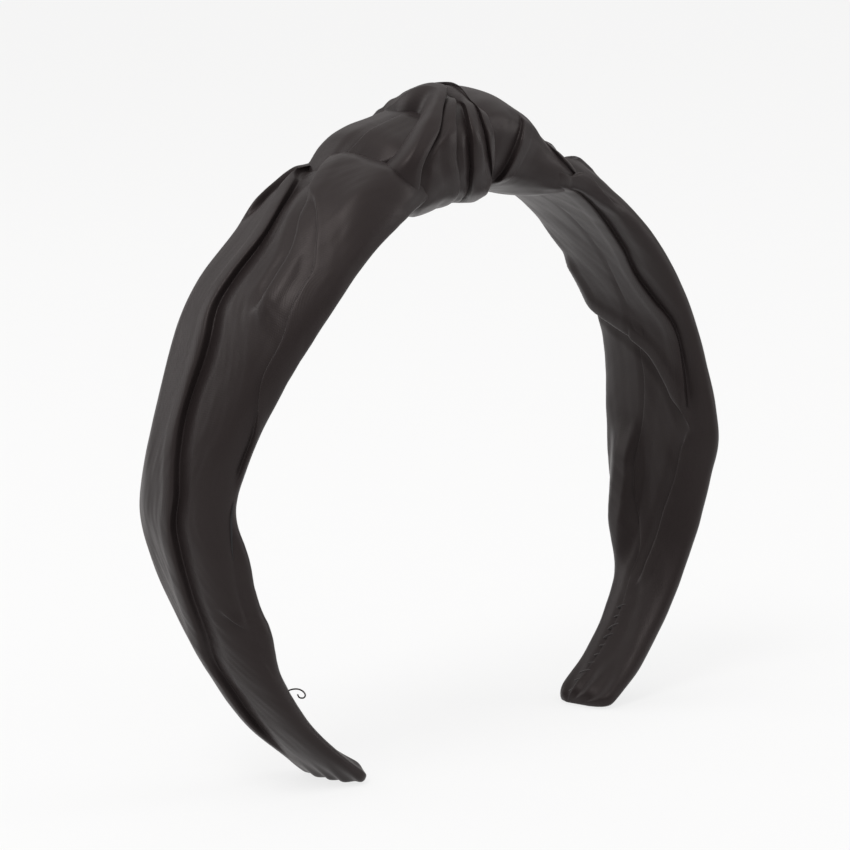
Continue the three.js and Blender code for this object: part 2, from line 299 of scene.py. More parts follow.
# %% The folds of this headband
FOLDS = [
    # deep pleat: the panel on the high side stands over it
    fold([(14, 12.5), (22, 13.2), (30, 9.6), (38, 5.6), (45, 3.3), (59, 3.0), (72, 2.6), (89, 3.8),
          (108, 3.5), (118, 3.9), (133, 2.8), (144, 3.2), (150, 1.9), (159, 0.8), (172, 1.0)], "outer", -1,
         0.75, sink=0.7, overlap=1.1, swell=1.2, width=9, ends=(8, 16)),
    # back ridge near the knot
    fold([(7, 13.0), (22, 14.6), (30, 14.4), (38, 15.4), (47, 16.6)], "outer", -1, 0.9, sink=0.7, swell=0.9,
         width=6, ends=(8, 9)),
    fold([(14, 11.0), (22, 12.6), (30, 10.9), (40, 8.4)], "outer", 1, 0.5, sink=0.5, overlap=0.8, swell=0.5,
         width=5),
    # soft fold from the knot forwards, with its lit ridge on the low side
    fold([(10, 11.5), (20, 10.0), (31, 1.2), (37, -3.2), (47, -7.0), (56, -9.6), (63, -9.5), (68, -6.9)],
         "outer", 1, 0.8, sink=0.9, swell=1.2, ends=(6, 7)),
    # thin line that becomes the front roll
    fold([(38, -3.6), (45, -10.5), (51, -14.2), (56, -16.2), (67, -16.4), (80, -14.4), (92, -12.2),
          (98, -11.2), (104, -9.6)], "outer", 1, 0.55, sink=0.55, overlap=0.9, swell=0.5, width=5,
         ends=(9, 6)),
    # pinch on the low edge
    fold([(127, -4.0), (131, -6.8), (134, -9.0)], "outer", 1, 0.5, overlap=0.7, swell=0.4, width=5,
         ends=(5, 4)),
    # inner face: broad upper panel, hanging over the lower ones
    fold([(62, -17.0), (70, -17.2), (78, -13.6), (82, -7.6), (85, -2.4), (88, 1.0), (96, 5.8), (104, 9.3),
          (111, 11.6)], "inner", 1, 1.1, sink=0.9, overlap=1.2, swell=0.9, width=9, ends=(6, 9), arms=(1,)),
    fold([(80, -8.0), (85, -2.4), (88, 1.0), (96, 5.8), (104, 9.3), (111, 11.6)], "inner", 1, 0.9, sink=0.8,
         swell=0.8, ends=(12, 9), arms=(-1,)),
    # inner face: the long fold beside the high edge
    fold([(7, 13.0), (20, 14.0), (28, 13.6), (37, 12.3), (47, 10.0), (57, 8.5), (67, 7.2), (74, 8.8),
          (80, 11.0), (94, 11.2), (111, 11.8)], "inner", -1, 0.6, sink=0.45, swell=0.5, ends=(36, 9)),
    # inner face: the same panel's edge, running on to the seam near the tip
    fold([(108, 11.2), (113, 9.3), (123, 7.1), (130, 5.2), (138, 4.2), (152, 1.8)], "inner", 1, 0.5,
         sink=0.5, overlap=0.9, swell=0.4, width=6),
]
print(sum(-1 in f["arms"] for f in FOLDS), "folds on each arm")

# %% [markdown]
# ## Puffs
# Where the strip is slack it swells off the plastic without any line. A puff is a soft hill on one face of
# the section, which fades in and out down the arm and across it.

# %% Puffs
def puff(face, s, v, height, arms=(-1, 1)):
    """A soft swelling. s is where it starts, is full, starts to fall and ends down the arm, and v across."""
    return dict(face=face, s=s, v=v, height=height, arms=arms)


PUFFS = [
    puff("outer", (22, 30, 36, 58), (-22, -14, -5, 5), 3.0),    # the lobe that comes out of the knot
    puff("inner", (106, 120, 134, 150), (-16, -10, -7, -2), 2.6),    # the slack layer inside the low edge
    puff("outer", (60, 72, 104, 122), (-2, 6, 14, 20), 0.7, arms=(-1,)),    # the full back panel
]


def lay_puff(p, s, v, h):
    a, b, c, d = p["s"]
    e, f, g, k = p["v"]
    on_face = smooth_step(h if p["face"] == "outer" else -h, 0, 2.5)
    down = smooth_step(s, a, b) * (1 - smooth_step(s, c, d))
    across = smooth_step(v, e, f) * (1 - smooth_step(v, g, k))
    return p["height"] * on_face * down * across


print(len(PUFFS), "puffs, the last on the left arm only")

# %% [markdown]
# ## The sleeves
# Each sleeve is one strip, wrapped round the plastic with its long edges lapped along the inner face, just
# as it is sewn. The grid starts at the top edge of the lap and ends underneath it. The folds are laid on the
# ring, then the tip is gathered shut and the lap is given its thickness.

# %% The sleeves
COLUMNS = 270
ROWS = 330
LAP = 4.0          # how far the strip runs on under its own edge
LAP_STEP = 0.42    # how far the top edge stands over the under layer
LAP_SINK = 0.25    # how far the under layer is pressed in below it
LAP_OPENS = (78, 92)    # nearer the knot the lap is hidden
HEM = 1.1          # cloth turned in at the top edge
HEM_SINK = 0.5
TOP_ARC = 7.0
TIP_GROWTH = 1.8   # the cloth stands this far past the plastic's end
TIP_ROUND = 5.5
TIP_SHUT = (0.10, 0.06)    # the shares of width and thickness left where the tip is drawn shut
TIP_MIDDLE = -1.5
PUCKER, PUCKER_PITCH = 0.34, 4.6    # the gathers at the tip
FLOOR_PRESS = 0.9
WAVES, WAVE_PITCH = 0.30, 46
CREASES, CREASE_PITCH = 0.10, 13
FOLD_REACH = 12    # a fold moves nothing further round the ring than this
AIM_STEP = 0.4     # half the step over which the outward direction is read


def sleeve(name, sizes, side, seed):
    """One sleeve. side is -1 for the left arm and +1 for the right."""
    s = np.linspace(TOP_ARC, ARM_LENGTH, ROWS)
    ring = Section(sizes, s)
    start = settled([ring.place(a, b, "inner") for a, b in zip(s, along(SEAM, s))])
    u = start[:, None] + np.linspace(0, 1, COLUMNS)[None, :] * (ring.length[:, None] + LAP)
    grid_s = np.repeat(s[:, None], COLUMNS, 1)
    lift, slide_s, slide_u = (np.zeros(u.shape) for _ in range(3))
    for f in (f for f in FOLDS if side in f["arms"]):
        line = np.array([(a, ring.place(a, b, f["face"])) for a, b in f["line"]])
        for turn in (-1, 0, 1):
            shifted = line + np.stack([np.zeros(len(line)), turn * np.interp(line[:, 0], s, ring.length)], 1)
            if shifted[:, 1].max() > u.min() - FOLD_REACH and shifted[:, 1].min() < u.max() + FOLD_REACH:
                up, along_s, along_u = lay_fold(f, shifted, grid_s, u)
                lift, slide_s, slide_u = lift + up, slide_s + along_s, slide_u + along_u
    flat_v, flat_h = ring.at(u)
    lift = lift + sum(lay_puff(p, grid_s, flat_v, flat_h) for p in PUFFS if side in p["arms"])
    lift = lift + WAVES * unevenness(grid_s, u, WAVE_PITCH, seed)
    lift = lift + CREASES * unevenness(grid_s * 0.5, u * 1.6, CREASE_PITCH, seed + 1)
    # the lap: the top edge stands over the under layer and is turned in
    gone = u - start[:, None]
    left = start[:, None] + ring.length[:, None] - u
    shows = smooth_step(grid_s, *LAP_OPENS)
    lift = lift + LAP_STEP * shows * (1 - smooth_step(gone, 1.0, 5.0))
    turned = np.clip(1 - gone / HEM, 0, 1) * (0.25 + 0.75 * shows)
    lift = lift - HEM_SINK * turned ** 2
    slide_u = slide_u + turned * HEM * 0.8
    lift = lift - LAP_SINK * smooth_step(-left, -1.5, 1.0)
    v, h = ring.at(u + slide_u)
    (v0, h0), (v1, h1) = ring.at(u + slide_u - AIM_STEP), ring.at(u + slide_u + AIM_STEP)
    size = np.hypot(v1 - v0, h1 - h0) + 1e-9
    v, h = v + (h1 - h0) / size * lift, h - (v1 - v0) / size * lift
    at_s = grid_s + slide_s
    v, h, at_s = gather_tip(v, h, at_s, u)
    points = rest_on_floor(on_hoop(side * at_s, -side * v, h))
    return grid_mesh(name, points, np.stack([u, grid_s], -1))


def settled(values, passes=8):
    """A list of places with its small steps smoothed out."""
    values = np.array(values, float)
    for _ in range(passes):
        values = np.convolve(np.pad(values, 1, mode="edge"), [0.25, 0.5, 0.25], "valid")
    return values


def gather_tip(v, h, s, u):
    """Closes the end of a sleeve: it puckers and is drawn shut under the stitches."""
    end = ARM_LENGTH + TIP_GROWTH
    s = s + TIP_GROWTH * smooth_step(s, ARM_LENGTH - 30, ARM_LENGTH)
    close = np.clip((s - (end - TIP_ROUND)) / TIP_ROUND, 0, 1)
    round_off = np.sqrt(np.clip(1 - close ** 3.2, 0, 1))
    gathers = np.sin(2 * np.pi * u / PUCKER_PITCH + 1.3 * np.sin(u * 0.3))
    pucker = smooth_step(s, end - 15, end - 3) * PUCKER * gathers
    narrow, thin = TIP_SHUT
    v = TIP_MIDDLE + (v - TIP_MIDDLE) * (narrow + (1 - narrow) * round_off)
    h = h * (thin + (1 - thin) * round_off) + np.sign(h) * pucker * round_off
    return v, h, s


def rest_on_floor(points):
    """Cloth that would pass through the floor is pressed flat on it instead."""
    z = points[..., 2]
    low = z < FLOOR_PRESS
    points[..., 2] = np.where(low, FLOOR_PRESS * np.exp(np.minimum((z - FLOOR_PRESS) / FLOOR_PRESS, 0)), z)
    return points


left_sleeve = sleeve("left_sleeve", LEFT, -1, 11)
right_sleeve = sleeve("right_sleeve", RIGHT, 1, 23)

# %% [markdown]
# ## The knot
# An overhand knot shows one loop of the strip wound over the crown, and a strand on each side that comes out
# from under it. The knot looks the same when it is turned half round, so each piece is drawn once for the
# front: psi is the way round the band, from -90 degrees underneath by the front to 90 on top, and q is the
# arc from the knot's middle.

# %% The knot
KNOT_ARC = -4.0
PSI_MM = 0.288     # millimetres of cloth for each degree round the band
RING_POWER = 2.25


def ring_of_knot(psi, depth, top, bottom, lift):
    """y and h of a point psi degrees round the band, lifted off a squared ring."""
    a = np.radians(psi)
    middle, tall = (top + bottom) / 2, (top - bottom) / 2
    return (-(depth + lift) * squared(np.cos(a), RING_POWER),
            middle + (tall + lift) * squared(np.sin(a), RING_POWER))


def edge_fall(gap, width):
    """The fall of a turned-in edge: a quarter circle, 1 at the edge and 0 at width from it."""
    near = np.clip(1 - gap / width, 0, 1)
    return 1 - np.sqrt(np.clip(1 - near ** 2, 0, 1))


def lay_folds(folds, p, q):
    """Adds up the folds of a knot piece. Their lines are (psi, q) pairs."""
    lift, slide_p, slide_q = (np.zeros(p.shape) for _ in range(3))
    for f in folds:
        line = [(psi * PSI_MM, place) for psi, place in f["line"]]
        up, along_p, along_q = lay_fold(f, line, p, q)
        lift, slide_p, slide_q = lift + up, slide_p + along_p, slide_q + along_q
    return lift, slide_p, slide_q


# %% [markdown]
# ## The loop over the crown
# The loop fans out from a narrow gather on top to about twice the width underneath. Four pleat lines part
# it into five panels. Each panel swells between its lines, and each line has one panel rolled over the next.

# %% The loop over the crown
LOOP_LEFT = [(-90, -16.0), (-60, -22.0), (-30, -25.6), (-10, -26.6), (6, -26.2), (14, -25.0),
             (20, -23.0), (32, -18.6), (50, -12.0), (68, -6.8), (90, -7.6)]
LOOP_RIGHT = [(-90, 16.0), (-60, 10.8), (-40, 7.2), (-6, 4.2), (12, 4.0), (30, 4.2), (50, 3.6), (68, 5.6),
              (90, 7.6)]
LOOP_PLEATS = [
    [(-90, -14.0), (-50, -21.0), (-22, -22.2), (-12, -21.2), (10, -17.6), (23, -12.4), (45, -7.2),
     (66, -1.8), (90, -2.4)],
    [(-90, -1.0), (-60, -5.0), (-32, -7.8), (-4, -9.8), (28, -6.8), (62, -1.0), (90, -0.4)],
    [(-90, 7.5), (-78, 5.6), (-50, -1.0), (-18, -4.8), (6, -4.8), (30, -3.2), (52, -0.6), (90, 1.4)],
    [(-90, 13.0), (-60, 9.4), (-35, 4.2), (-10, 0.7), (6, -0.3), (33, 0.3), (52, 1.4), (90, 3.9)],
]
LOOP_ROWS = 330
LOOP_COLUMNS = 200
LOOP_START, LOOP_END = -98, 278    # the ends overlap underneath
LOOP_TOP, LOOP_TOP_DROP = 17.5, 2.8        # height in front, and how much less it is behind
LOOP_DEPTH, LOOP_DEPTH_DROP = 18.4, 1.4    # depth in the middle, and how much less at the fan's edges
LOOP_BOTTOM = -7.4
PANEL_SWELL = 1.15
PLEAT_RISE, PLEAT_SHIFT, PLEAT_REACH = 0.9, 0.75, 1.9
FRONT_TOPS = (-1, -1, 1, 1)    # the side of each line that lies on top in front: +1 right, -1 left
EDGE_ROUND = 4.2
EDGE_TUCK = 8.0


def loop_over_crown():
    """The loop. Its back half is its front half turned round."""
    psi = np.linspace(LOOP_START, LOOP_END, LOOP_ROWS)
    wrapped = np.where(psi > 270, psi - 360, psi)

    def whole(front, back, passes):
        """A line all the way round, from its front half and its back half."""
        return settled(np.where(wrapped <= 90, along(front, wrapped), -along(back, 180 - wrapped)), passes)

    left_edge, right_edge = whole(LOOP_LEFT, LOOP_RIGHT, 30), whole(LOOP_RIGHT, LOOP_LEFT, 30)
    w = np.linspace(0, 1, LOOP_COLUMNS)[None, :]
    q = left_edge[:, None] + (right_edge - left_edge)[:, None] * w
    p = np.repeat(psi[:, None] * PSI_MM, LOOP_COLUMNS, 1)
    pleats = [whole(front, back, 25) for front, back in zip(LOOP_PLEATS, LOOP_PLEATS[::-1])]
    lines = [left_edge, *pleats, right_edge]
    lift, slide_q = np.zeros(q.shape), np.zeros(q.shape)
    for one, two in zip(lines[:-1], lines[1:]):
        t = np.clip((q - one[:, None]) / np.maximum(two - one, 0.4)[:, None], 0, 1)
        wide = np.clip((two - one) / 6, 0.35, 1)[:, None]
        lift = lift + PANEL_SWELL * wide * np.sin(np.pi * t) ** 0.7
    for line, front, back in zip(pleats, FRONT_TOPS, FRONT_TOPS[::-1]):
        top = settled(np.where(wrapped <= 90, front, -back), 12)[:, None]
        way, strong = np.sign(top + 1e-6), np.abs(top)
        d = (q - line[:, None]) * way
        lift = lift + strong * PLEAT_RISE * beside(d, soft=0.4, full=0.5, gone=5)
        lift = lift - strong * PLEAT_RISE * beside(-d, soft=0.35, full=0.3, gone=3)
        slide_q = slide_q - PLEAT_SHIFT * rolled(d, PLEAT_REACH) * strong * way
    for edge in (q - left_edge[:, None], right_edge[:, None] - q):
        lift = lift - EDGE_TUCK * edge_fall(edge, EDGE_ROUND)
    lift = lift + 0.25 * unevenness(p, q, 17, 31)
    lift = lift - 0.8 * smooth_step(psi, LOOP_END - 16, LOOP_END)[:, None]
    top = np.repeat(LOOP_TOP - LOOP_TOP_DROP * smooth_step(wrapped, 76, 108)[:, None], LOOP_COLUMNS, 1)
    depth = LOOP_DEPTH - LOOP_DEPTH_DROP * smooth_step(np.abs(q), 17, 26)
    y, h = ring_of_knot(np.repeat(wrapped[:, None], LOOP_COLUMNS, 1), depth, top, LOOP_BOTTOM, lift)
    points = on_hoop(KNOT_ARC + q + slide_q, y, h)
    return grid_mesh("knot_loop", points[:, ::-1], np.stack([q, p], -1)[:, ::-1])


knot_loop = loop_over_crown()

# %% [markdown]
# ## The two strands
# Each strand comes out from under the loop, lies over the crown like a saddle and runs down into the
# arm's folds. It is deep beside the loop and thins out towards the arm, and its far edge crosses slantwise.

# %% The two strands
STRAND_TOP = {1: [(0, 17.2), (6, 17.4), (10, 16.6), (15, 14.4), (17.5, 13.0), (20, 10.4), (25, 7.0),
                  (30, 5.7), (42, 4.0)],
              -1: [(0, 13.8), (8, 13.4), (14, 13.2), (18, 12.6), (22, 9.8), (25, 7.6), (28, 6.6), (32, 6.4),
                   (42, 5.6)]}
STRAND_DEPTH = [(0, 15.6), (9, 16.2), (20, 16.2), (26, 16.4), (32, 16.2), (42, 15.0)]
STRAND_BOTTOM = [(0, -5.4), (20, -6.0), (30, -5.6), (42, -3.4)]
STRAND_FAR_PSI = {1: [(0, 176), (14, 165), (22, 148), (27, 130), (31, 112), (36, 96), (42, 80)],
                  -1: [(0, 178), (12, 168), (19.4, 149), (22.6, 130), (25.4, 108), (28, 90), (32, 74),
                       (42, 60)]}
STRAND_FOLDS = [
    fold([(-60, 9.4), (-36, 9.6), (-11, 10.2), (13, 12.0), (30, 13.4), (42, 14.0)], "outer", 1, 0.7,
         overlap=0.9, swell=0.5, width=6, ends=(5, 4)),
    fold([(102, 7), (101, 12), (97, 18.6), (91, 22), (80, 28)], "outer", -1, 0.7, sink=0.9, overlap=0.9,
         swell=0.6, width=6, ends=(3, 6)),
    fold([(44, 20), (20, 27), (6, 34)], "outer", -1, 0.3, sink=0.5, overlap=0.6, swell=0.5, width=7,
         ends=(6, 6)),
]
STRAND_START = -150    # psi, past the middle underneath
STRAND_FROM, STRAND_TO = 2, 40
STRAND_ROWS = 190
STRAND_COLUMNS = 190
FAR_ROUND, FAR_TUCK = 3.6, 3.4    # width and depth of the turned-in far edge
ARM_TUCK = 3.4                    # how deep the strand sinks into the arm's cloth
START_TUCK, START_WIDTH = 5.0, 11


def strand(name, turned, seed):
    """One strand. turned is +1 for the right strand, and -1 for the left, which is turned half round."""
    t = np.linspace(STRAND_FROM, STRAND_TO, STRAND_COLUMNS)[None, :]
    far = along(STRAND_FAR_PSI[turned], t)
    w = np.linspace(0, 1, STRAND_ROWS)[:, None]
    psi = STRAND_START + (far - STRAND_START) * w
    q = np.repeat(t, STRAND_ROWS, 0)
    p = psi * PSI_MM
    lift, slide_p, slide_q = lay_folds(STRAND_FOLDS, p, q)
    lift = lift + 0.3 * unevenness(p, q, 22, seed)
    lift = lift - FAR_TUCK * edge_fall((far - psi) * PSI_MM, FAR_ROUND)
    lift = lift - ARM_TUCK * smooth_step(q, 25, 42)
    lift = lift - START_TUCK * (1 - smooth_step((psi - STRAND_START) * PSI_MM, 0, START_WIDTH))
    top, depth, bottom = along(STRAND_TOP[turned], q), along(STRAND_DEPTH, q), along(STRAND_BOTTOM, q)
    y, h = ring_of_knot(psi + slide_p / PSI_MM, depth, top, bottom, lift)
    points = on_hoop(KNOT_ARC + turned * (q + slide_q), turned * y, h)
    return grid_mesh(name, points[:, ::-1], np.stack([q, p], -1)[:, ::-1])


strand_right = strand("strand_right", 1, 41)
strand_left = strand("strand_left", -1, 43)

# %% [markdown]
# ## Shader sums as plain expressions
# A finish is easier to read when its maths is written as sums. One small class wraps a socket, so that an
# expression adds its Math nodes, and one method adds any other node: its settings first, then its sockets.

# %% Shader sums as plain expressions
class Value:
    """A socket that can be added, subtracted and multiplied."""

    def __init__(self, finish, socket):
        self.finish, self.socket = finish, socket

    def sum(self, operation, one, two):
        return self.finish.node("ShaderNodeMath", {"operation": operation}, {0: one, 1: two})

    def __add__(self, other):
        return self.sum("ADD", self, other)

    def __radd__(self, other):
        return self.sum("ADD", other, self)

    def __sub__(self, other):
        return self.sum("SUBTRACT", self, other)

    def __rsub__(self, other):
        return self.sum("SUBTRACT", other, self)

    def __mul__(self, other):
        return self.sum("MULTIPLY", self, other)

    def __rmul__(self, other):
        return self.sum("MULTIPLY", other, self)


class Finish:
    """A material being built, with its main shader ready."""

    def __init__(self, name, **constants):
        self.material = bpy.data.materials.new(name)
        self.material.use_nodes = True
        self.tree = self.material.node_tree
        self.shader = self.tree.nodes["Principled BSDF"]
        for socket, value in constants.items():
            self.shader.inputs[socket.replace("_", " ")].default_value = value

    def node(self, kind, settings, sockets, out=0):
        made = self.tree.nodes.new(kind)
        for name, value in settings.items():
            setattr(made, name, value)
        for name, value in sockets.items():
            if isinstance(value, Value):
                self.tree.links.new(value.socket, made.inputs[name])
            else:
                made.inputs[name].default_value = value
        return Value(self, made.outputs[out])

    def feed(self, socket, value):
        self.tree.links.new(value.socket, self.shader.inputs[socket])

    def bump(self, height, strength, distance):
        self.feed("Normal", self.node("ShaderNodeBump", {}, {
            "Height": height, "Strength": strength, "Distance": distance}))


OBJECT_PLACE = 3    # the coordinate node's output that follows the object
LOW_COLOUR, HIGH_COLOUR, MIXED = 6, 7, 2    # the mix node's sockets for colours


def colour_between(finish, low, high, amount):
    return finish.node("ShaderNodeMix", {"data_type": "RGBA"}, {
        "Factor": amount, LOW_COLOUR: (*low, 1), HIGH_COLOUR: (*high, 1)}, out=MIXED)


print("shader helpers ready")

# %% [markdown]
# ## Satin
# The cloth is a warm brown-black satin. Its floats are long and shiny one way, so the shine is broad and
# soft, and a little sheen lights the rims of the folds. A fine weave, faint slubs and a slow drift of
# tone keep it from looking like plastic. Everything follows the cloth's own map, which is in centimetres.

# %% Satin
SATIN_DARK = (0.0125, 0.0095, 0.0095)
SATIN_LIGHT = (0.0200, 0.0154, 0.0154)


def satin_finish():
    satin = Finish("satin", IOR=1.45, Specular_IOR_Level=0.24, Sheen_Weight=0.06, Sheen_Roughness=0.30,
                   Sheen_Tint=(1.0, 0.86, 0.84, 1.0), Specular_Tint=(1.0, 0.90, 0.88, 1.0))
    cloth = satin.node("ShaderNodeUVMap", {"uv_map": "cloth"}, {})
    across = satin.node("ShaderNodeTexWave", {"wave_type": "BANDS", "bands_direction": "X"}, {
        "Vector": cloth, "Scale": 9.5, "Distortion": 0.6, "Detail": 1.0, "Detail Scale": 3.0})
    down = satin.node("ShaderNodeTexWave", {"wave_type": "BANDS", "bands_direction": "Y"}, {
        "Vector": cloth, "Scale": 7.0, "Distortion": 0.8, "Detail": 1.0, "Detail Scale": 3.0})
    stretched = satin.node("ShaderNodeMapping", {}, {"Vector": cloth, "Scale": (9.0, 0.9, 1.0)})
    slub = satin.node("ShaderNodeTexNoise", {}, {"Vector": stretched, "Scale": 1.6, "Detail": 4.0,
                                                  "Roughness": 0.55})
    drift = satin.node("ShaderNodeTexNoise", {}, {"Vector": cloth, "Scale": 0.45, "Detail": 3.0})
    grain = satin.node("ShaderNodeTexNoise", {}, {"Vector": cloth, "Scale": 26.0, "Detail": 2.0})
    weave = across * 0.6 + down * 0.4
    tone = 0.18 + weave * 0.14 + slub * 0.18 + drift * 0.42 + grain * 0.10
    satin.feed("Base Color", colour_between(satin, SATIN_DARK, SATIN_LIGHT, tone))
    satin.feed("Roughness", 0.40 - weave * 0.05 + drift * 0.06 + grain * 0.05 - slub * 0.04)
    satin.bump(weave * 0.5 + grain * 0.35 + slub * 0.5, 0.22, 0.00012)
    return satin.material


satin = satin_finish()
print("satin:", len(satin.node_tree.nodes), "nodes")

# %% [markdown]
# ## Plastic and thread
# The hoop is moulded in black plastic with a fine grain, polished a little by the mould. The thread is dark
# polyester with two plies, so a slanting wave runs along it.

# %% Plastic and thread
def plastic_finish():
    plastic = Finish("hoop_plastic", IOR=1.49, Specular_IOR_Level=0.45)
    place = plastic.node("ShaderNodeTexCoord", {}, {}, out=OBJECT_PLACE)
    grain = plastic.node("ShaderNodeTexNoise", {}, {"Vector": place, "Scale": 1800.0, "Detail": 3.0})
    flow = plastic.node("ShaderNodeTexNoise", {}, {"Vector": place, "Scale": 45.0, "Detail": 2.0})
    plastic.feed("Base Color", colour_between(plastic, (0.010, 0.010, 0.011), (0.015, 0.015, 0.016), flow))
    plastic.feed("Roughness", 0.34 + grain * 0.12 + flow * 0.08)
    plastic.bump(grain, 0.2, 0.00005)
    return plastic.material


def thread_finish():
    thread = Finish("thread", IOR=1.5, Specular_IOR_Level=0.4, Sheen_Weight=0.15)
    place = thread.node("ShaderNodeTexCoord", {}, {}, out=OBJECT_PLACE)
    ply = thread.node("ShaderNodeTexWave", {"wave_type": "BANDS", "bands_direction": "DIAGONAL"}, {
        "Vector": place, "Scale": 900.0, "Distortion": 1.5, "Detail": 2.0})
    fuzz = thread.node("ShaderNodeTexNoise", {}, {"Vector": place, "Scale": 2600.0, "Detail": 2.0})
    tone = ply * 0.6 + fuzz * 0.4
    thread.feed("Base Color", colour_between(thread, (0.016, 0.013, 0.013), (0.040, 0.032, 0.032), tone))
    thread.feed("Roughness", 0.45 + fuzz * 0.25)
    thread.bump(ply * 0.8 + fuzz * 0.3, 0.4, 0.00006)
    return thread.material


plastic = plastic_finish()
thread = thread_finish()
print("plastic and thread ready")

# %% [markdown]
# ## The hoop's plastic
# The hoop is rigid between its hinges, so its three CAD pieces stay as they are and only get the finish.

# %% The hoop's plastic
for node in ("crown_core", "left_arm_core", "right_arm_core"):
    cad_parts[node].data.materials.clear()
    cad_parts[node].data.materials.append(plastic)
print("hoop pieces finished in plastic")

# %% [markdown]
# ## Whip stitches
# Both tips are closed by hand with small slanting stitches over the lapped edge. One stitch is a low arch of
# thread; Geometry Nodes sets it along the seam, leaning and stretching each a little differently.

# %% The tree that sews
FLOAT_LOW, FLOAT_HIGH, FLOAT_OUT = 2, 3, 1    # the random value node's sockets for plain numbers


def socket_id(tree, name):
    return next(item.identifier for item in tree.interface.items_tree if item.name == name)


def sewing_tree():
    tree = bpy.data.node_groups.new("whip_stitches", "GeometryNodeTree")
    tree.interface.new_socket("Geometry", in_out="INPUT", socket_type="NodeSocketGeometry")
    for name, kind, value in (("Pitch", "NodeSocketFloat", 0.0026),
                              ("Half width", "NodeSocketFloat", 0.0015),
                              ("Arch", "NodeSocketFloat", 0.0008), ("Lean", "NodeSocketFloat", 0.5),
                              ("Thread radius", "NodeSocketFloat", 0.00015), ("Seed", "NodeSocketInt", 3)):
        tree.interface.new_socket(name, in_out="INPUT", socket_type=kind).default_value = value
    tree.interface.new_socket("Thread", in_out="INPUT", socket_type="NodeSocketMaterial")
    tree.interface.new_socket("Geometry", in_out="OUTPUT", socket_type="NodeSocketGeometry")

    def add(kind, settings=None, **links):
        """A node. _ stands for a space, _0 for the first input, and a node for its first output."""
        made = tree.nodes.new(kind)
        for key, value in (settings or {}).items():
            setattr(made, key, value)
        for key, value in links.items():
            where = made.inputs[int(key[1:])] if key[0] == "_" else made.inputs[key.replace("_", " ")]
            if isinstance(value, (bpy.types.Node, bpy.types.NodeSocket)):
                tree.links.new(value.outputs[0] if isinstance(value, bpy.types.Node) else value, where)
            else:
                where.default_value = value
        return made

    given = add("NodeGroupInput").outputs
    seam = add("GeometryNodeMeshToCurve", Mesh=given["Geometry"])
    spots = add("GeometryNodeCurveToPoints", {"mode": "LENGTH"}, Curve=seam,
                Length=given["Pitch"])
    minus = add("ShaderNodeMath", {"operation": "MULTIPLY"}, _0=given["Half width"], _1=-1.0)
    start = add("ShaderNodeCombineXYZ", X=minus)
    end = add("ShaderNodeCombineXYZ", X=given["Half width"])
    middle = add("ShaderNodeCombineXYZ", Z=given["Arch"])
    arch = add("GeometryNodeCurveQuadraticBezier", Resolution=10, Start=start,
               Middle=middle, End=end)
    ring = add("GeometryNodeCurvePrimitiveCircle", Resolution=8, Radius=given["Thread radius"])
    stitch = add("GeometryNodeCurveToMesh", Curve=arch, Profile_Curve=ring,
                 Fill_Caps=True)
    across = add("GeometryNodeInputNamedAttribute", {"data_type": "FLOAT_VECTOR"}, Name="across")
    outward = add("GeometryNodeInputNamedAttribute", {"data_type": "FLOAT_VECTOR"}, Name="outward")
    turned = add("FunctionNodeAxesToRotation", {"primary_axis": "Z", "secondary_axis": "X"},
                 Primary_Axis=outward, Secondary_Axis=across)
    less = add("ShaderNodeMath", {"operation": "MULTIPLY"}, _0=given["Lean"], _1=0.3)
    low = add("ShaderNodeMath", {"operation": "SUBTRACT"}, _0=given["Lean"], _1=less)
    high = add("ShaderNodeMath", {"operation": "ADD"}, _0=given["Lean"], _1=less)
    lean = add("FunctionNodeRandomValue", {"data_type": "FLOAT"}, Seed=given["Seed"])
    tree.links.new(low.outputs[0], lean.inputs[FLOAT_LOW])
    tree.links.new(high.outputs[0], lean.inputs[FLOAT_HIGH])
    spin = add("ShaderNodeCombineXYZ", Z=lean.outputs[FLOAT_OUT])
    leaning = add("FunctionNodeRotateRotation", {"rotation_space": "LOCAL"}, Rotation=turned,
                  Rotate_By=spin)
    size = add("FunctionNodeRandomValue", {"data_type": "FLOAT"}, Seed=given["Seed"])
    size.inputs[FLOAT_LOW].default_value, size.inputs[FLOAT_HIGH].default_value = 0.82, 1.15
    sewn = add("GeometryNodeInstanceOnPoints", Points=spots, Instance=stitch,
               Rotation=leaning, Scale=size.outputs[FLOAT_OUT])
    real = add("GeometryNodeRealizeInstances", Geometry=sewn)
    finished = add("GeometryNodeSetMaterial", Geometry=real, Material=given["Thread"])
    out = add("NodeGroupOutput")
    tree.links.new(finished.outputs[0], out.inputs[0])
    return tree


sewing = sewing_tree()
print("sewing tree has", len(sewing.nodes), "nodes")

# %% [markdown]
# ## The stitched tips
# The seam's path is read off the finished sleeve: for each arc, the point of cloth just beside the lapped
# edge, with its outward direction and the direction across the seam, kept as attributes that the tree reads.

# %% The stitched tips
STITCH_FROM, STITCH_TO = 156.0, 180.0
STITCH_PATH_POINTS = 60
STITCH_PITCH = 0.0027      # metres, as the tree wants it
STITCH_SUNK = 0.00035      # how deep a stitch's ends lie
STITCH_LEAN = 0.55         # radians
STITCH_COLUMN = 5          # the sleeve's column that the stitches run down
ACROSS_COLUMNS = 8


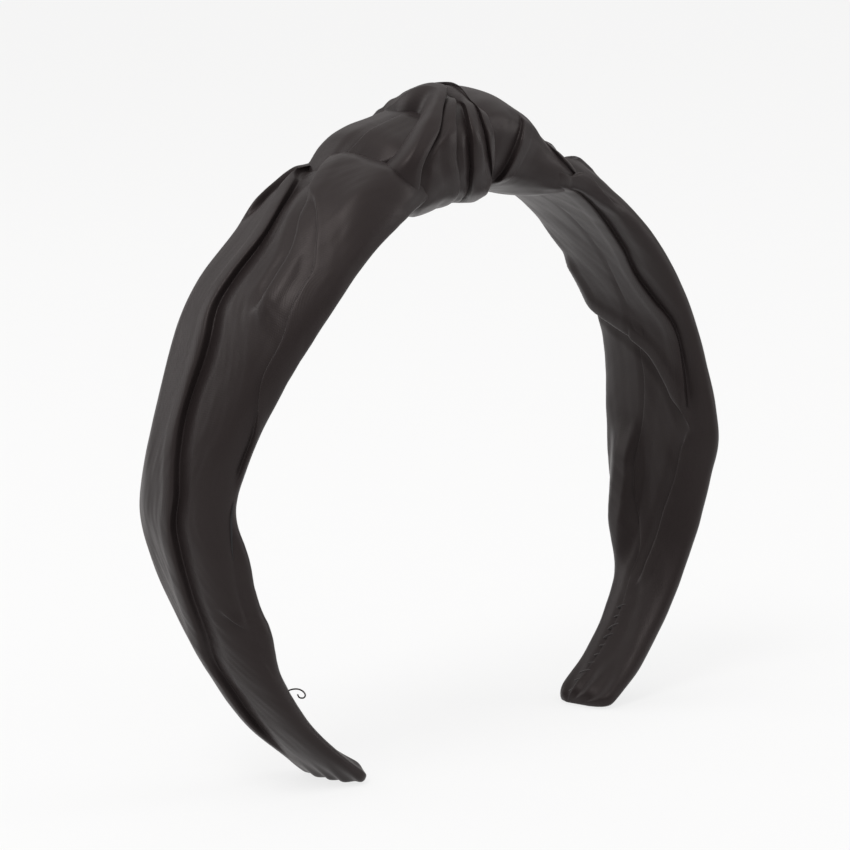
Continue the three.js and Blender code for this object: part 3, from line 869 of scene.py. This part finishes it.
def seam_path(sleeve_points):
    """Points, outward directions and across directions beside the lapped edge, in metres."""
    s = np.linspace(TOP_ARC, ARM_LENGTH, ROWS)
    rows = np.searchsorted(s, np.linspace(STITCH_FROM, STITCH_TO, STITCH_PATH_POINTS))
    rows = np.clip(rows, 1, ROWS - 2)
    at = sleeve_points[rows, STITCH_COLUMN]
    across = sleeve_points[rows, STITCH_COLUMN + ACROSS_COLUMNS] - at
    across /= np.linalg.norm(across, axis=1)[:, None]
    down = sleeve_points[rows + 1, STITCH_COLUMN] - sleeve_points[rows - 1, STITCH_COLUMN]
    outward = np.cross(across, down)
    outward /= np.linalg.norm(outward, axis=1)[:, None]
    return at * MM, outward, across


def sew(name, sleeve, side, seed):
    co = np.empty(len(sleeve.data.vertices) * 3, np.float32)
    sleeve.data.vertices.foreach_get("co", co)
    at, outward, across = seam_path(co.reshape(ROWS, COLUMNS, 3).astype(float) / MM)
    middle = on_hoop(side * (STITCH_FROM + STITCH_TO) / 2, 0, 0) * MM
    if ((at.mean(0) - middle) * outward.mean(0)).sum() < 0:
        outward = -outward
    path = bpy.data.meshes.new(name + "_path")
    path.from_pydata((at - outward * STITCH_SUNK).tolist(), [(i, i + 1) for i in range(len(at) - 1)], [])
    for key, values in (("outward", outward), ("across", across)):
        layer = path.attributes.new(key, "FLOAT_VECTOR", "POINT")
        layer.data.foreach_set("vector", values.astype(np.float32).ravel())
    guide = put(name + "_path", path)
    modifier = guide.modifiers.new("sewing", "NODES")
    modifier.node_group = sewing
    for key, value in (("Pitch", STITCH_PITCH), ("Seed", seed), ("Thread", thread),
                       ("Lean", STITCH_LEAN)):
        modifier[socket_id(sewing, key)] = value
    sewn = bpy.data.meshes.new_from_object(guide.evaluated_get(bpy.context.evaluated_depsgraph_get()))
    bpy.data.objects.remove(guide)
    sewn.polygons.foreach_set("use_smooth", np.ones(len(sewn.polygons), bool))
    print(name, "has", len(sewn.polygons), "faces")
    return put(name, sewn)


left_stitches = sew("left_stitches", left_sleeve, -1, 5)
right_stitches = sew("right_stitches", right_sleeve, 1, 9)

# %% [markdown]
# ## The loose thread
# A single end of thread was never trimmed near the left tip. It stands out from the back edge in a small
# loop, and is far too short to be a cord. It is a thin tube swept along a smooth curve between set points.

# %% The loose thread
TAIL_ROUTE = [(-153.2, -6.4, -3.0), (-153.3, -7.6, -4.2), (-153.6, -8.9, -4.8), (-154.4, -9.7, -5.0),
              (-155.6, -9.6, -5.0), (-156.4, -8.8, -4.7), (-156.2, -7.9, -4.4), (-155.2, -7.9, -4.4)]
TAIL_RADIUS = 0.17
TAIL_SIDES = 8
TAIL_STEPS = 90
ASIDE = (0.3, 0.2, 1.0)    # any direction that the thread does not start along


def tube(name, route, radius):
    """A round tube with closed ends through a route of points in millimetres."""
    route = np.array(route, float)
    run = np.arange(len(route), dtype=float)
    at = np.linspace(0, run[-1], TAIL_STEPS)
    line = np.stack([along(np.stack([run, route[:, k]], 1), at) for k in range(3)], 1)
    way = np.gradient(line, axis=0)
    way /= np.linalg.norm(way, axis=1)[:, None]
    side = np.cross(way[0], ASIDE)
    rings = []
    for point, ahead in zip(line, way):
        side = side - ahead * (side @ ahead)
        side /= np.linalg.norm(side)
        other = np.cross(ahead, side)
        turn = np.linspace(0, 2 * np.pi, TAIL_SIDES, endpoint=False)
        rings.append(point + radius * (np.cos(turn)[:, None] * side - np.sin(turn)[:, None] * other))
    rings = np.array([[line[0]] * TAIL_SIDES, *rings, [line[-1]] * TAIL_SIDES])
    places = np.meshgrid(np.arange(len(rings)) * 0.2, np.arange(TAIL_SIDES) * 0.15, indexing="ij")
    cloth = np.stack(places, -1)
    piece = grid_mesh(name, rings, cloth, closed=True)
    work = bmesh.new()
    work.from_mesh(piece.data)
    bmesh.ops.remove_doubles(work, verts=work.verts, dist=1e-6)
    work.to_mesh(piece.data)
    work.free()
    return piece


tail_points = np.array([on_hoop(*place) for place in TAIL_ROUTE])
thread_tail = tube("thread_tail", tail_points, TAIL_RADIUS)

# %% [markdown]
# ## Riding on the bodies
# The sleeves cross the flexing place of the hoop, but they are not bent: their placing is only baked into
# the mesh. The knot rides on the crown, and the stitches and the loose thread on their arms. The area of
# each strip of cloth is printed, summed over its faces through its pleats and laps.

# %% Riding on the bodies
BEND_FROM, BEND_TO = 24.0, 80.0


def bend(piece, arm, side):
    start, end = on_hoop(side * BEND_FROM, 0, 0) * MM, on_hoop(side * BEND_TO, 0, 0) * MM
    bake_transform(piece)


def dress(piece, finish, slot, *nodes):
    piece.data.materials.clear()
    piece.data.materials.append(finish)
    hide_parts(*nodes)


def tell_area(piece):
    area = sum(face.area for face in piece.data.polygons)
    print(piece.name, "holds", round(area * 1e4, 1), "square centimetres of cloth")


dress(left_sleeve, satin, "satin", "left_wrap", "crown_wrap")
dress(right_sleeve, satin, "satin", "right_wrap")
dress(knot_loop, satin, "satin", "knot_wrap")
dress(strand_left, satin, "satin", "crossing_strand")
dress(strand_right, satin, "satin", "right_strand")
dress(left_stitches, thread, "thread", "left_tip_stitching")
dress(right_stitches, thread, "thread", "right_tip_stitching")
dress(thread_tail, thread, "thread", "left_thread_tail")
bend(left_sleeve, "left_arm", -1)
bend(right_sleeve, "right_arm", 1)
for piece, body in ((knot_loop, "crown"), (strand_left, "crown"), (strand_right, "crown"),
                    (left_stitches, "left_arm"), (thread_tail, "left_arm"), (right_stitches, "right_arm")):
    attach(piece, body)
for piece in (left_sleeve, right_sleeve, knot_loop, strand_left, strand_right):
    tell_area(piece)

# %% [markdown]
# ## Camera
# The headband is seen from its left front, a little above, through a long lens.

# %% Camera
AZIMUTH, ELEVATION, ROLL = math.radians(-44.016), math.radians(10.317), math.radians(-1.49)
DISTANCE = 0.777
LENS, SENSOR_WIDTH = 146.1, 36
SHIFT_X, SHIFT_Y = -0.0293, 0.0130
AIM = Vector((0, 0, 0.07))
away = Vector((math.sin(AZIMUTH) * math.cos(ELEVATION), -math.cos(AZIMUTH) * math.cos(ELEVATION),
               math.sin(ELEVATION)))


def facing(way):
    """The turn that points a camera or a light along a direction."""
    return way.to_track_quat("-Z", "Y")


camera_data = bpy.data.cameras.new("camera")
camera_data.lens, camera_data.sensor_width = LENS, SENSOR_WIDTH
camera_data.shift_x, camera_data.shift_y = SHIFT_X, SHIFT_Y
camera_data.clip_start, camera_data.clip_end = 0.05, 20
camera = put("camera", camera_data)
camera.location = AIM + away * DISTANCE
camera.rotation_mode = "QUATERNION"
camera.rotation_quaternion = facing(-away) @ Quaternion((0, 0, 1), ROLL)
scene.camera = camera
print("camera", [round(v, 3) for v in camera.location])

# %% [markdown]
# ## Studio
# A white sweep and a bright white surround give the soft, nearly shadowless light of a catalogue picture.
# The surround lights the cloth less than it shows, and three broad boxes draw out the folds.

# %% Studio
PAPER = 0.94


def studio_world(level, overhead):
    world = bpy.data.worlds.new("studio")
    world.use_nodes = True
    tree = world.node_tree
    shown = tree.nodes["Background"]
    shown.inputs["Color"].default_value = (PAPER, PAPER, PAPER, 1)
    lighting = tree.nodes.new("ShaderNodeBackground")
    lighting.inputs["Color"].default_value = (1, 0.99, 0.98, 1)
    place = tree.nodes.new("ShaderNodeTexCoord")
    parts = tree.nodes.new("ShaderNodeSeparateXYZ")
    tree.links.new(place.outputs["Generated"], parts.inputs[0])
    height = tree.nodes.new("ShaderNodeMapRange")
    for socket, value in (("From Min", 0.05), ("From Max", 0.75), ("To Min", level), ("To Max", overhead)):
        height.inputs[socket].default_value = value
    tree.links.new(parts.outputs["Z"], height.inputs["Value"])
    tree.links.new(height.outputs[0], lighting.inputs["Strength"])
    ray = tree.nodes.new("ShaderNodeLightPath")
    mix = tree.nodes.new("ShaderNodeMixShader")
    tree.links.new(ray.outputs["Is Camera Ray"], mix.inputs[0])
    tree.links.new(lighting.outputs[0], mix.inputs[1])
    tree.links.new(shown.outputs[0], mix.inputs[2])
    tree.links.new(mix.outputs[0], tree.nodes["World Output"].inputs[0])
    return world


def soft_light(name, place, energy, size):
    data = bpy.data.lights.new(name, "AREA")
    data.energy, data.size = energy, size
    lamp = put(name, data)
    lamp.location = Vector(place)
    lamp.rotation_mode = "QUATERNION"
    lamp.rotation_quaternion = facing(AIM - lamp.location)


def paper_floor(size, own_light):
    mesh = bpy.data.meshes.new("floor")
    corners = [(-size, -size, 0), (size, -size, 0), (size, size, 0), (-size, size, 0)]
    mesh.from_pydata(corners, [], [(0, 1, 2, 3)])
    sweep = put("floor", mesh)
    paper = Finish("paper", Roughness=1.0, Specular_IOR_Level=0.0, Emission_Color=(1, 1, 1, 1),
                   Emission_Strength=own_light)
    place = paper.node("ShaderNodeTexCoord", {}, {}, out=OBJECT_PLACE)
    fibre = paper.node("ShaderNodeTexNoise", {}, {"Vector": place, "Scale": 60.0, "Detail": 3.0})
    paper.feed("Base Color", colour_between(paper, (0.150, 0.150, 0.150), (0.154, 0.154, 0.154), fibre))
    mesh.materials.append(paper.material)


scene.world = studio_world(0.15, 1.05)
soft_light("right_box", (1.2, -1.0, 0.55), 6, 0.8)
soft_light("left_box", (-0.8, -0.2, 1.3), 9, 0.6)
soft_light("back_box", (-0.6, 1.3, 0.6), 4, 0.8)
paper_floor(6, 0.78)
scene.view_settings.view_transform = "Standard"
print("studio lit")
